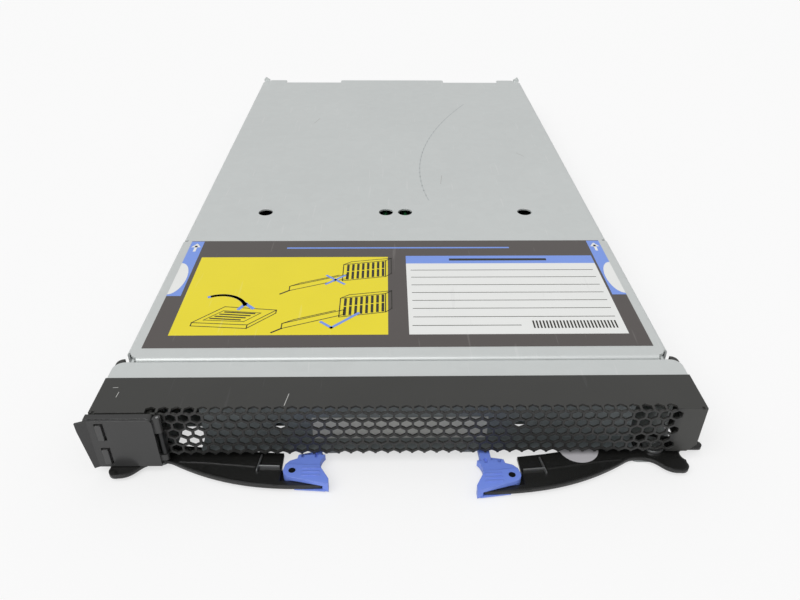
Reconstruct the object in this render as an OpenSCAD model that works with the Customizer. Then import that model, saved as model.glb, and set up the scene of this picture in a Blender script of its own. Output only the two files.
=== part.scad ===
// Blade server, one bay wide, lying on its base with the cover up.
// Millimetres. X runs across the front, Y runs back from the bezel face, Z rises from the base.

/* [Enclosure] */
// Width over the front bezel
bezel_w = 245; // [243:0.5:248]
// Depth from the bezel face to the rear tabs of the cover
body_d = 446; // [444:1:450]
// Height from the base to the top of the cover
body_h = 29; // [29:0.5:31]
// Width over the front flanges of the cover
cover_w = 238; // [237:0.5:239]
// Sheet thickness of the base tray
tray_t = 1.2; // [1:0.1:1.4]
// Sheet thickness of the cover and the front carrier
sheet_t = 1; // [0.8:0.1:1]
// Y of the front edge of the cover
cover_front = 33; // [33:0.5:36]
// Radius of the four sight holes in the cover
sight_r = 4.25; // [3:0.25:5]

/* [Grille] */
// Depth of the flat black top of the bezel
bezel_d = 21; // [18:1:21]
// Distance between neighbouring hexagons in a row
hex_pitch = 5.05; // [4.9:0.05:5.3]
// Width of a hexagon across its upright flats
hex_flats = 4.1; // [3.6:0.05:4.3]
// Height between neighbouring rows of hexagons
hex_row = 4.16; // [4.1:0.02:4.4]
// Lowest edge of the grille, above the ejector levers
grille_z = 5.4; // [5.2:0.1:6]

/* [Control panel] */
// Height of the lower edge of the panel door
door_z = 3.4; // [3.4:0.1:5]
// Depth of the panel door in front of the bezel
door_d = 4.2; // [3.6:0.1:4.4]
// Travel of the two select buttons
select_travel = 0.7; // [0.4:0.1:0.8]

/* [Ejector levers] */
// Distance of a lever pivot from the middle of the blade
pivot_x = 107; // [106:0.5:108]
// Underside of the lever plates
lever_z = 1.5; // [1.5:0.05:1.6]
// Thickness of the lever plates
lever_t = 1.6; // [1.4:0.1:1.6]
// Angle by which the right lever stands ajar at rest
right_ajar = 3; // [0:0.5:5]
// Radius of the lever pivot rivets
pivot_r = 3; // [2.5:0.1:3.2]
// Radius of the latch pins
latch_pin_r = 1.4; // [1.2:0.1:1.6]

/* [Board and cooling] */
// Height of the upper face of the system board
board_top = 5.8; // [5.6:0.1:6]
// Thickness of the system board
board_t = 1.6; // [1.4:0.1:1.8]
// Number of fins on a heat sink
fin_count = 28; // [20:1:30]
// Thickness of one fin
fin_t = 0.8; // [0.6:0.1:1]
// Number of memory sockets
memory_count = 4; // [4:1:4]
// Distance between neighbouring memory sockets
memory_pitch = 12; // [11:0.5:12]

/* [Rear] */
// Distance of a rear connector from the middle of the blade
rear_conn_x = 73; // [72:0.5:74]
// Width of a rear connector
rear_conn_w = 46; // [44:1:46]
// Radius of the guide bores in the rear connectors
guide_r = 3; // [2.5:0.1:3.2]
// Depth of the guide bores
guide_depth = 20; // [12:1:24]

/* [Hidden] */
$fn = 48;

// Overhang of a cut past the faces that it opens
cut = 1;
// Running clearance on the radius of every hinge
run = 0.05;

// Enclosure
half_bezel = bezel_w / 2;
half_cover = cover_w / 2;
// The rear stretch of the cover is a little narrower than its front stretch
half_cover_rear = half_cover - 0.5;
wall_out = half_cover_rear - 1.3;
wall_in = wall_out - tray_t;
wall_front = 29;
wall_back = body_d - 6;
wall_top = body_h - 2.5;
floor_front = 22;
rear_wall_y = body_d - 9;
// Y of the joggle between the two stretches of the cover
cover_step_y = 138.6;
// Y of the recessed rear edge of the cover, between its three tabs
cover_rear = body_d - 7;
ear_h = 3;
// Hinge axis of the cover, through the two cover pins
hinge_y = body_d - 12;
hinge_z = 20;
cover_pin_r = 2;
// The frame's origin lies under the middle of the whole object
lever_tip_y = -16;
ajar_drop = 4.07;
front_y = lever_tip_y - ajar_drop;
mid_y = (front_y + body_d) / 2;

// Grille
skin = 1;
hex_tall = hex_flats * 1.1;
// The first row of hexagons wraps over the top edge of the bezel
wrap_past = 1.1;
wrap_z = body_h + 0.7;
// X of the hexagon nearest to the middle, and the last hexagons to its left and right
hex_middle = -0.15;
hex_first = -19;
hex_last = 22;
face_left = -98.6;

// Control panel
door_left = -half_bezel - 1;
door_right = -97;
door_hinge = [-95.4, -1.9];
door_top = body_h - 0.4;
door_pin_r = 0.6;
knuckle_r = 1.35;
lug_r = 1.1;
select_x = -118.1;
select_w = 2.4;
select_h = 8;
select_z = [22.1, 9.1];
// Opening round a select button: its extra width to the right and its extra height on top
select_gap = [0.9, 0.7];
power_x = -110.5;
power_z = 20;
power_r = 3;

// Ejector levers, for the right side with the lever closed
pivot_y = 5;
lever_top = lever_z + lever_t;
// Rear edge of the thin strip at the inner end of a lever
strip = [[31.8, -13.4], [48.4, -12.1]];
latch_pin = [43.7, -8.8];
latch_clear = 0.25;
latch_low = 0.7;
latch_mid = lever_top + 1.6;
latch_high = lever_top + 2.4;

// Board, cooling and memory
board_half = 112;
board_front = 50;
board_back = 432;
sink_x = 69;
sink_y = 110;
sink_w = 74;
sink_d = 100;
sink_top = body_h - 2.5;
memory_y = 126.5;
module_half = 66.7;
socket_half = 72.5;
memory_pivot = [69.4, board_top + 3];

// Drives
drive_x = 74;
drive_y = 266;
drive_tray_z = board_top + 1.6;
drive_pivot = [211.5, drive_tray_z + 2.2];

// Rear connectors
rear_conn_front = body_d - 38;
rear_conn_z = [2.6, 15.5];

// ---- shared shapes ----

// Points on an arc about c, from angle a0 to a1
function arc_pts(c, r, a0, a1, n = 10) =
    [for (i = [0:n]) let (a = a0 + (a1 - a0) * i / n) [c[0] + r * cos(a), c[1] + r * sin(a)]];

// Points on a cubic Bezier curve
function bezier_pts(p0, p1, p2, p3, n = 12) =
    [for (i = [0:n]) let (t = i / n, u = 1 - t)
        u * u * u * p0 + 3 * u * u * t * p1 + 3 * u * t * t * p2 + t * t * t * p3];

// Moves the whole object into its frame
module placed() {
    translate([0, -mid_y, 0]) children();
}

// Draws a right-hand piece on its own side, or mirrored to the left
module on_side(side) {
    if (side < 0) mirror([1, 0, 0]) children();
    else children();
}

// Extrudes a profile drawn in X and Z back along Y
module along_y(y0, len) {
    translate([0, y0 + len, 0]) rotate([90, 0, 0]) linear_extrude(len) children();
}

// Extrudes a profile drawn in Y and Z out along X
module along_x(x0, len) {
    translate([x0, 0, 0]) rotate([90, 0, 90]) linear_extrude(len) children();
}

// A box given by its two opposite corners
module block(p, q) {
    translate(p) cube(q - p);
}

// Rounded rectangle about the origin
module rounded_rect(w, d, r) {
    square([w - 2 * r, d], center = true);
    square([w, d - 2 * r], center = true);
    for (x = [-1, 1], y = [-1, 1])
        translate([x * (w / 2 - r), y * (d / 2 - r)]) circle(r);
}

// Section of a sheet bent down at its edge: the outer corner is the origin, the sheet runs to +X
module bent_edge(drop, t, r) {
    intersection() {
        translate([r, -r]) difference() {
            circle(r);
            circle(r - t);
        }
        translate([0, -r]) square(r);
    }
    translate([0, -drop]) square([t, drop - r]);
}

// Turns a right-hand piece with its lever, by the angle at which that lever stands at rest
module with_lever(side) {
    on_side(side)
        translate([pivot_x, pivot_y, 0]) rotate([0, 0, side > 0 ? right_ajar : 0])
            translate([-pivot_x, -pivot_y, 0]) children();
}

// ---- enclosure ----

// Floor in front of the side walls: its two pivot tongues and two catch tabs
module floor_front_2d() {
    tongue_w = 22;
    catch_x = 26;
    catch_w = 6;
    catch_y = 5.5;
    translate([-wall_out, floor_front]) square([2 * wall_out, wall_front - floor_front + cut]);
    for (s = [-1, 1]) {
        translate([s * (pivot_x - 1) - tongue_w / 2, pivot_y]) square([tongue_w, floor_front - pivot_y + cut]);
        translate([s * (pivot_x - 1), pivot_y]) tongue_nose(tongue_w);
        translate([s > 0 ? catch_x : -catch_x - catch_w, catch_y]) square([catch_w, floor_front - catch_y + cut]);
    }
}

// Round nose of a pivot tongue
module tongue_nose(w) {
    corner_r = 5;
    translate([-w / 2 + corner_r, -1]) circle(corner_r);
    translate([w / 2 - corner_r, -1]) circle(corner_r);
    translate([-w / 2 + corner_r, -1 - corner_r]) square([w - 2 * corner_r, corner_r + 1]);
    translate([-w / 2, -1]) square([w, 1 + cut]);
}

// Sheet steel tray: floor, side walls, rear wall, pivot tongues and catch tabs
module base_tray() {
    bend_r = 1.8;
    lip_w = 4;
    lip_y = [60, 425];
    window_y = [83.5, 116.5];
    window_z = [8.5, 22];
    conn_gap = 0.4;
    catch_lip = [[26, 5.5, 0], [32, 6.7, 4.4]];
    color("silver") difference() {
        union() {
            along_y(wall_front, wall_back - wall_front) {
                translate([-wall_out + bend_r, 0]) square([2 * (wall_out - bend_r), tray_t]);
                for (m = [0, 1]) mirror([m, 0]) translate([-wall_out, 0]) mirror([0, 1])
                    bent_edge(wall_top, tray_t, bend_r);
            }
            linear_extrude(tray_t) floor_front_2d();
            for (s = [-1, 1]) on_side(s) {
                block([wall_in - lip_w, lip_y[0], wall_top - tray_t], [wall_in + tray_t / 2, lip_y[1], wall_top]);
                block(catch_lip[0], catch_lip[1]);
            }
            block([-wall_in - tray_t / 2, rear_wall_y, tray_t / 2],
                [wall_in + tray_t / 2, rear_wall_y + tray_t, wall_top - 0.5]);
        }
        // upper rear corners of the side walls, cut back so that the cover can swing past them
        along_x(-wall_out - cut, 2 * (wall_out + cut))
            polygon([[wall_back - 3, wall_top + 0.01], [wall_back + cut, wall_top - 2.5],
                [wall_back + cut, wall_top + cut]]);
        for (s = [-1, 1]) on_side(s) {
            translate([pivot_x, pivot_y, -cut]) cylinder(r = pivot_r, h = tray_t + 2 * cut);
            translate([wall_in - cut, hinge_y, hinge_z]) rotate([0, 90, 0])
                cylinder(r = cover_pin_r, h = tray_t + 2 * cut);
            block([wall_in - cut, window_y[0], window_z[0]], [wall_out + cut, window_y[1], window_z[1]]);
            block([rear_conn_x - rear_conn_w / 2 - conn_gap, rear_wall_y - cut, tray_t],
                [rear_conn_x + rear_conn_w / 2 + conn_gap, wall_back + cut, rear_conn_z[1] + conn_gap]);
        }
    }
}

// Shouldered pins that carry the cover near the rear corners
module cover_pins() {
    head_r = 2.8;
    head_t = 1.2;
    color("dimgray") for (s = [-1, 1]) on_side(s) translate([wall_in, hinge_y, hinge_z]) rotate([0, 90, 0]) {
        cylinder(r = cover_pin_r, h = half_cover_rear - wall_in);
        translate([0, 0, -head_t]) cylinder(r = head_r, h = head_t);
    }
}

// Outline of the cover's top between its bent edges, with its rear tabs
module cover_top_2d(edge_r) {
    corner_r = 5;
    centre_tab = 47;
    corner_tab = [97, 112];
    tab_r = 1.5;
    difference() {
        union() {
            translate([-half_cover + edge_r, cover_front + corner_r])
                square([2 * (half_cover - edge_r), cover_step_y - cover_front - corner_r]);
            translate([-half_cover_rear + edge_r, cover_step_y - cut])
                square([2 * (half_cover_rear - edge_r), cover_rear + 1 - cover_step_y + cut]);
            translate([-half_cover + corner_r, cover_front + edge_r])
                square([2 * (half_cover - corner_r), corner_r]);
            for (s = [-1, 1]) translate([s * (half_cover - corner_r - edge_r / 2), cover_front + corner_r + edge_r / 2])
                circle(corner_r - edge_r / 2);
            tab([-centre_tab, centre_tab], tab_r);
            for (s = [-1, 1]) tab(s > 0 ? corner_tab : [-corner_tab[1], -corner_tab[0]], tab_r);
        }
        // recesses that clear the rear connectors
        for (s = [-1, 1])
            translate([s > 0 ? centre_tab : -corner_tab[0], cover_rear])
                square([corner_tab[0] - centre_tab, body_d]);
    }
}

// One rear tab between two X values, with rounded corners
module tab(x, r) {
    y0 = cover_rear - 2;
    translate([x[0], y0]) square([x[1] - x[0], body_d - r - y0]);
    translate([x[0] + r, y0]) square([x[1] - x[0] - 2 * r, body_d - y0]);
    for (c = [x[0] + r, x[1] - r]) translate([c, body_d - r]) circle(r);
}

// Sheet steel cover: flat top, rolled front edge, side flanges, hinge ears and rear ears
module cover() {
    edge_r = 1.6;
    flange_drop = 9;
    front_drop = 5;
    corner_r = 5;
    sight_y = 174;
    sight_x = [5.75, 78];
    notch_w = 1.6;
    notch_in = 3;
    release_y = [82, 118];
    release_z = 24.5;
    hinge_ear = [[-10, -6.5], [6, 2]];
    step_back = cover_step_y - cover_front - corner_r;
    color("lightgray") difference() {
        union() {
            translate([0, 0, body_h - sheet_t]) linear_extrude(sheet_t) cover_top_2d(edge_r);
            along_x(-half_cover + corner_r, 2 * (half_cover - corner_r))
                translate([cover_front, body_h]) bent_edge(front_drop, sheet_t, edge_r);
            for (s = [-1, 1]) on_side(s) {
                along_y(cover_front + corner_r, step_back)
                    translate([half_cover, body_h]) mirror([1, 0]) bent_edge(flange_drop, sheet_t, edge_r);
                along_y(cover_step_y - 0.01, wall_back - cover_step_y)
                    translate([half_cover_rear, body_h]) mirror([1, 0]) bent_edge(flange_drop, sheet_t, edge_r);
                along_x(half_cover_rear - sheet_t, sheet_t) difference() {
                    translate([hinge_y + hinge_ear[0][0], hinge_z + hinge_ear[0][1]])
                        square(hinge_ear[1] - hinge_ear[0]);
                    translate([hinge_y, hinge_z]) circle(cover_pin_r + run);
                }
                rear_ear();
            }
        }
        for (s = [-1, 1]) on_side(s) {
            for (x = sight_x) translate([x, sight_y, body_h - sheet_t - cut])
                cylinder(r = sight_r, h = sheet_t + 2 * cut);
            // joggle notch
            block([half_cover - notch_in, cover_step_y - notch_w / 2, body_h - flange_drop - cut],
                [half_cover + cut, cover_step_y + notch_w / 2, body_h + cut]);
            // cut-out of the flange over the release pad
            block([half_cover - sheet_t - cut, release_y[0], body_h - flange_drop - cut],
                [half_cover + cut, release_y[1], release_z]);
            translate([half_cover_rear - sheet_t - cut, hinge_y, hinge_z]) rotate([0, 90, 0])
                cylinder(r = cover_pin_r + run, h = sheet_t + 2 * cut);
        }
    }
}

// Small pointed ear bent up at a rear corner of the cover
module rear_ear() {
    ear_x = [112.6, 116, 118];
    tip_r = 0.6;
    along_y(body_d - sheet_t, sheet_t) {
        polygon(concat([[ear_x[0], body_h - sheet_t], [ear_x[2], body_h - sheet_t], [ear_x[2], body_h + 1]],
            arc_pts([ear_x[1], body_h + ear_h - tip_r], tip_r, 35, 145, 6), [[ear_x[0], body_h + 0.6]]));
    }
    // strap that joins the ear to the top sheet
    block([ear_x[0], cover_rear - 1, body_h - sheet_t], [half_cover_rear - 2, body_d, body_h]);
}

// Thin printed label on the cover
module cover_label() {
    label_w = 227;
    label_y = [41, 138];
    label_t = 0.2;
    color("dimgray") block([-label_w / 2, label_y[0], body_h], [label_w / 2, label_y[1], body_h + label_t]);
}

// Sprung pad in the side wall that frees the cover
module cover_release(side) {
    pad_y = [84, 116];
    pad_z = [9, 21.5];
    proud = 1;
    flange_t = 1.2;
    flange_gap = 0.6;
    flange_extra = 4.5;
    flange_extra_z = 2.5;
    corner_r = 3;
    mid = [(pad_y[0] + pad_y[1]) / 2, (pad_z[0] + pad_z[1]) / 2];
    span = [pad_y[1] - pad_y[0], pad_z[1] - pad_z[0]];
    flange_x = wall_in - flange_gap - flange_t;
    color("silver") on_side(side) {
        along_x(flange_x, half_cover + proud - flange_x)
            translate(mid) rounded_rect(span[0], span[1], corner_r);
        along_x(flange_x, flange_t)
            translate(mid) rounded_rect(span[0] + 2 * flange_extra, span[1] + 2 * flange_extra_z, corner_r);
    }
}

// ---- front ----

// Hexagon with two upright sides
module hexagon_2d() {
    polygon([for (a = [30:60:330]) [hex_flats / 2 / cos(30) * cos(a), hex_tall / 2 * sin(a)]]);
}

// One row of hexagons at height z; staggered rows stand half a pitch to the right
module hex_row_2d(first, last, staggered, z) {
    for (i = [first:last])
        translate([hex_middle + (i + (staggered ? 0.5 : 0)) * hex_pitch, z]) hexagon_2d();
}

// Every hexagon of the front face, from the row that wraps over the top edge downwards
module grille_2d() {
    rows = 6;
    for (k = [0:rows])
        hex_row_2d(hex_first, k % 2 == 0 ? hex_last - 1 : hex_last, k % 2 == 0, wrap_z - k * hex_row);
}

// Black moulded bezel: top, sides, perforated face, side wings and the lugs of the panel door
module front_bezel() {
    chamfer = 3.5;
    foot = 2.6;
    inner_cut = chamfer + 0.4;
    top_z = body_h;
    wing_z = [grille_z + 4, body_h - 2];
    wing_in = wall_out + 0.8;
    wing_y = [19, 33, 36];
    wing_r = 3;
    lug_z = [9, 20.2];
    notch = 1.1;
    notch_x = half_bezel - 1.8;
    color("#3c3c3b") difference() {
        union() {
            // top and sides in one bent shell
            along_y(0, bezel_d) polygon([
                [-half_bezel, top_z], [-half_bezel, grille_z + chamfer], [-half_bezel + chamfer, grille_z],
                [-half_bezel + chamfer + foot, grille_z], [-half_bezel + chamfer + foot, grille_z + skin],
                [-half_bezel + inner_cut, grille_z + skin], [-half_bezel + skin, grille_z + inner_cut],
                [-half_bezel + skin, top_z - skin],
                [half_bezel - skin, top_z - skin], [half_bezel - skin, grille_z + inner_cut],
                [half_bezel - inner_cut, grille_z + skin], [half_bezel - chamfer - foot, grille_z + skin],
                [half_bezel - chamfer - foot, grille_z], [half_bezel - chamfer, grille_z],
                [half_bezel, grille_z + chamfer], [half_bezel, top_z]]);
            // front face, right of the control panel
            along_y(0, skin) difference() {
                polygon([[face_left, top_z], [face_left, grille_z], [half_bezel - chamfer, grille_z],
                    [half_bezel, grille_z + chamfer], [half_bezel, top_z]]);
                grille_2d();
            }
            for (s = [-1, 1]) on_side(s) translate([0, 0, wing_z[0]]) linear_extrude(wing_z[1] - wing_z[0])
                polygon(concat([[wing_in, wing_y[0]], [half_bezel, wing_y[0]]],
                    arc_pts([half_bezel - wing_r, wing_y[2] - wing_r], wing_r, 0, 90, 8),
                    [[half_cover + 0.4, wing_y[2]], [half_cover + 0.4, wing_y[1]], [wing_in, wing_y[1]]]));
            // hinge lug of the panel door
            translate([door_hinge[0], door_hinge[1], lug_z[0]]) cylinder(r = lug_r, h = lug_z[1] - lug_z[0]);
            block([door_hinge[0] - lug_r, door_hinge[1], lug_z[0]], [door_hinge[0] + lug_r, skin / 2, lug_z[1]]);
        }
        // the first row, where it wraps over the top edge
        translate([0, wrap_past, top_z - skin]) linear_extrude(skin + cut)
            hex_row_2d(hex_first - 1, hex_last - 1, true, 0);
        // small notch at each top corner
        for (s = [-1, 1]) translate([s * notch_x - notch / 2, -cut, top_z - notch / 2])
            cube([notch, notch + cut, notch]);
        translate([door_hinge[0], door_hinge[1], 0]) cylinder(r = door_pin_r, h = body_h);
    }
}

// Sheet steel bridge that carries the bezel: strip behind it, plate under its top and two side legs
module bezel_carrier() {
    strip_back = cover_front - 0.5;
    strip_r = 4.5;
    plate_z = body_h - 2 * skin;
    front = 6;
    leg_y = [14.4, 56];
    leg_z = 4.6;
    inside = half_bezel - skin - 0.1;
    color("lightgray") {
        translate([0, 0, plate_z]) linear_extrude(sheet_t) polygon(concat(
            [[-inside, front], [inside, front], [inside, bezel_d + 0.05], [half_bezel, bezel_d + 0.05]],
            arc_pts([half_bezel - strip_r, strip_back - strip_r], strip_r, 0, 90, 10),
            arc_pts([-half_bezel + strip_r, strip_back - strip_r], strip_r, 90, 180, 10),
            [[-half_bezel, bezel_d + 0.05], [-inside, bezel_d + 0.05]]));
        for (s = [-1, 1]) on_side(s)
            block([wall_in - tray_t, leg_y[0], leg_z], [wall_in, leg_y[1], plate_z + sheet_t / 2]);
    }
}

// Sheet behind the grille, with a foot that closes the gap above the levers
module inner_shield() {
    left = -82;
    right = 97;
    back = 8;
    t = 0.8;
    foot_y = 1.2;
    foot_z = grille_z + 0.2;
    hole_x = 50;
    hole_z = 13;
    hole_r = 2.2;
    color("#4a4c4e") difference() {
        union() {
            block([left, back, foot_z], [right, back + t, body_h - 2 * skin]);
            block([left, foot_y, foot_z], [right, back + t, foot_z + t]);
        }
        for (x = [-hole_x, hole_x]) translate([x, back - cut, hole_z]) rotate([-90, 0, 0])
            cylinder(r = hole_r, h = t + 2 * cut);
    }
}

// Plain pale plate on the shield, seen through the grille
module shield_label() {
    half_w = 36.5;
    back = 8;
    t = 0.3;
    color("gainsboro") block([-half_w, back - t, grille_z + 1], [half_w, back, 18]);
}

// Moulded box behind the panel door
module panel_housing() {
    wall = 1.2;
    depth = 14;
    color("#2e2e2e") difference() {
        along_y(0, depth) housing_2d(0);
        along_y(wall, depth) housing_2d(wall);
        translate([power_x, -cut, power_z]) rotate([-90, 0, 0]) cylinder(r = power_r + 0.15, h = wall + 2 * cut);
        for (z = light_z()) translate([light_x(), -cut, z]) rotate([-90, 0, 0])
            cylinder(r = light_r(), h = wall + 2 * cut);
    }
}

// Outline of the panel housing, with the chamfer of the bezel's lower corner
module housing_2d(inset) {
    x = [-half_bezel + skin + 0.2 + inset, face_left - 0.2 - inset];
    z = [grille_z + skin + 0.2 + inset, body_h - 2 * skin - inset];
    slope = 2.9 - inset * 0.6;
    polygon([[x[0], z[1]], [x[0], z[0] + slope], [x[0] + slope, z[0]], [x[1], z[0]], [x[1], z[1]]]);
}

// Column of status lights
function light_z() = [for (i = [0:4]) 9.5 + 3.4 * i];
function light_x() = -102;
function light_r() = 1;

// Small circuit board behind the panel, with the power switch
module control_card() {
    card_y = 8.6;
    card_t = 1.6;
    switch_w = 6;
    switch_y = 3.4;
    color("darkgreen") block([-half_bezel + 5.7, card_y, grille_z + 2.6],
        [face_left - 1.6, card_y + card_t, body_h - 3.4]);
    color("#222222") block([power_x - switch_w / 2, switch_y, power_z - switch_w / 2],
        [power_x + switch_w / 2, card_y + card_t / 2, power_z + switch_w / 2]);
}

// Clear rods that lead the status lights to the panel
module light_pipes() {
    color("honeydew") for (z = light_z())
        translate([light_x(), -0.3, z]) rotate([-90, 0, 0]) cylinder(r = light_r(), h = 8.9, $fn = 24);
}

// Round power button behind the panel door
module power_button() {
    cap_y = -0.8;
    flange_y = 1.35;
    flange_t = 0.8;
    color("whitesmoke") translate([power_x, 0, power_z]) rotate([-90, 0, 0]) {
        translate([0, 0, cap_y]) cylinder(r = power_r, h = flange_y - cap_y + flange_t);
        translate([0, 0, flange_y]) cylinder(r = power_r + 0.9, h = flange_t);
    }
}

// Hinged door of the control panel, with a finger lip that flares out and widens upwards
module panel_door() {
    plate = 1.2;
    rim = 1;
    back = -0.45;
    lip = [[-3.2, -0.9], [-2.4, -1.7]];
    // outer edge of the lip at the height of the base and of the cover
    lip_edge = [-123.7, -126.3];
    knuckle_z = [[5.6, 8.6], [20.6, 28.2]];
    corner_r = 2.2;
    groove_y = -3.1;
    groove = 0.35;
    slope = 0.25;
    color("#454545") difference() {
        union() {
            translate([0, 0, door_z]) linear_extrude(door_top - door_z) polygon([
                [door_left, back], [door_left, -door_d + 0.2],
                [door_left + lip[0][0], -door_d + lip[0][1]], [door_left + lip[1][0], -door_d + lip[1][1]],
                [door_left + 1.4, -door_d], [door_right, -door_d], [door_right, back],
                [door_right - rim, back], [door_right - rim, -door_d + plate],
                [door_left + rim, -door_d + plate], [door_left + rim, back]]);
            block([door_left, -door_d, door_top - rim], [door_right, back, door_top]);
            block([door_left, -door_d, door_z], [door_right, back, door_z + rim]);
            for (z = knuckle_z) {
                translate([door_hinge[0], door_hinge[1], z[0]]) cylinder(r = knuckle_r, h = z[1] - z[0]);
                block([door_right - rim, door_hinge[1] - knuckle_r, z[0]], [door_hinge[0], door_hinge[1], z[1]]);
            }
        }
        // the lip narrows downwards
        along_y(-door_d * 2, door_d * 2) polygon([[lip_edge[0], 0], [lip_edge[1], body_h],
            [lip_edge[1] - rim, body_h + cut], [2 * lip_edge[1], body_h], [2 * lip_edge[1], 0]]);
        // rounded upper right corner
        along_y(-door_d - cut, door_d + cut) difference() {
            translate([door_right - corner_r, door_top - corner_r]) square(corner_r + cut);
            translate([door_right - corner_r, door_top - corner_r]) circle(corner_r);
            translate([door_right - 0.01, 0]) square([cut + knuckle_r, 28.2]);
        }
        // groove along the top, and the slope in front of it
        block([door_left + 2, groove_y - groove, door_top - groove], [door_right - corner_r, groove_y, body_h]);
        along_x(2 * door_left, -2 * door_left) polygon([[-2 * door_d, door_top - 2 * slope],
            [groove_y - groove, door_top - slope], [groove_y - groove, body_h], [-2 * door_d, body_h]]);
        translate([door_hinge[0], door_hinge[1], 0]) cylinder(r = door_pin_r + run, h = body_h);
        for (z = select_z) translate([select_x - select_w / 2 - 0.15, -door_d - cut, z - select_h / 2 - 0.15])
            cube([select_w + 0.3 + select_gap[0], plate + cut + 0.5, select_h + 0.3 + select_gap[1]]);
    }
}

// Steel pin of the panel door
module door_pin() {
    color("silver") translate([door_hinge[0], door_hinge[1], 5.7]) cylinder(r = door_pin_r, h = 22.4);
}

// Tall select button in the panel door, with the hidden flange that keeps it in
module select_button(z) {
    proud = 0.35;
    flange_gap = 0.1;
    flange_t = 0.6;
    flange_extra = 0.5;
    soft = 0.5;
    flange_y = -door_d + 1.2 + flange_gap;
    low = [select_x - select_w / 2 - flange_extra, z - select_h / 2 - flange_extra];
    high = [select_x + select_w / 2 + select_gap[0] + flange_extra, z + select_h / 2 + select_gap[1] + flange_extra];
    color("#595959") {
        translate([select_x, flange_y, z]) rotate([90, 0, 0])
            linear_extrude(door_d + flange_y + proud) rounded_rect(select_w, select_h, soft);
        block([low[0], flange_y, low[1]], [high[0], flange_y + flange_t, high[1]]);
    }
}

// ---- ejector levers ----

// Front edge of a lever, from the end of its strip to the tip of the front finger
function lever_front_pts() = concat(
    bezier_pts([31.5, -15], [56, -16.2], [74, -12.5], [93.3, -1.9], 18),
    bezier_pts([93.3, -1.9], [96.3, -0.4], [101.5, -0.6], [105, -3.3], 8),
    bezier_pts([105, -3.3], [107.4, -5.3], [108.6, -9], [114.1, -9], 8));

// Whole outline of a lever plate: two fingers with a mouth between them, hub and thin strip
module lever_2d() {
    hub_r = 8.5;
    polygon(concat(lever_front_pts(),
        arc_pts([114.9, -5.9], 3.2, -95, 20, 8),
        arc_pts([120.6, -0.4], 3.9, 230, 90, 12),
        arc_pts([126.4, 5], 1.9, -80, 100, 10),
        arc_pts([pivot_x, pivot_y], hub_r, 50, 130, 8),
        [[92, 7.5], [60, 3.5], [strip[1][0], 2.6], strip[1], strip[0], [strip[0][0] - 0.3, strip[0][1] - 0.4]]));
}

// Ejector lever with a raised front rim, a stiffening ridge and the web under its latch
module ejector_lever(side) {
    rim_w = 1.1;
    rim_h = 0.2;
    rim_x = [50, 86];
    ridge = [[59.2, -4.8], [80, -2.4], [91, -1.8]];
    ridge_w = 0.6;
    web_r = 3.5;
    web_end = [51, -9];
    color("#1d1d1d") with_lever(side) difference() {
        union() {
            translate([0, 0, lever_z]) linear_extrude(lever_t) lever_2d();
            // rim along the front edge
            translate([0, 0, lever_top - 0.1]) linear_extrude(rim_h + 0.1) intersection() {
                lever_2d();
                polygon(concat([for (p = lever_front_pts()) if (p[0] > rim_x[0] && p[0] < rim_x[1]) p - [0, cut]],
                    [for (i = [len(lever_front_pts()) - 1:-1:0]) let (p = lever_front_pts()[i])
                        if (p[0] > rim_x[0] && p[0] < rim_x[1]) p + [0, rim_w]]));
            }
            // ridge
            translate([0, 0, lever_top - 0.1]) linear_extrude(rim_h + 0.1)
                polygon(concat(ridge, [for (i = [2:-1:0]) ridge[i] + [0, ridge_w]]));
            // web
            translate([0, 0, latch_low]) linear_extrude(lever_z - latch_low + 0.1) {
                intersection() {
                    translate(strip[1]) square([8, 8]);
                    lever_2d();
                }
            }
            translate([0, 0, latch_low]) linear_extrude(lever_z - latch_low) {
                translate(latch_pin) circle(web_r);
                translate([latch_pin[0], latch_pin[1] - web_r + 0.3])
                    square([web_end[0] - latch_pin[0], 2 * web_r - 0.3]);
            }
        }
        translate([pivot_x, pivot_y, 0]) cylinder(r = pivot_r + run, h = body_h);
        translate([latch_pin[0], latch_pin[1], 0]) cylinder(r = latch_pin_r, h = body_h);
    }
}

// Rivets on which the levers turn
module lever_pivots() {
    head_r = 4.5;
    head_t = 1.1;
    head_z = lever_top + 0.15;
    color("silver") for (s = [-1, 1]) translate([s * pivot_x, pivot_y, 0]) {
        cylinder(r = pivot_r, h = head_z + head_t);
        translate([0, 0, head_z]) cylinder(r = head_r, h = head_t);
    }
}

// Outline of a latch: tip, round pivot end, open rear corner, tail and thumb hollow
module latch_2d() {
    polygon(concat([[28.7, -16]],
        arc_pts(latch_pin, 3.6, -78, 5, 8),
        [[46.4, -4.4], [45.2, -3], [42.3, -1.8], [41.8, 1.5], [37, 2.6], [37, 9], [32.6, 9], [32.6, 2.4]],
        bezier_pts([31, 0.1], [33.4, -3.2], [33, -6.4], [31.2, -9.2], 10),
        [[28.8, -13.3]]));
}

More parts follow.
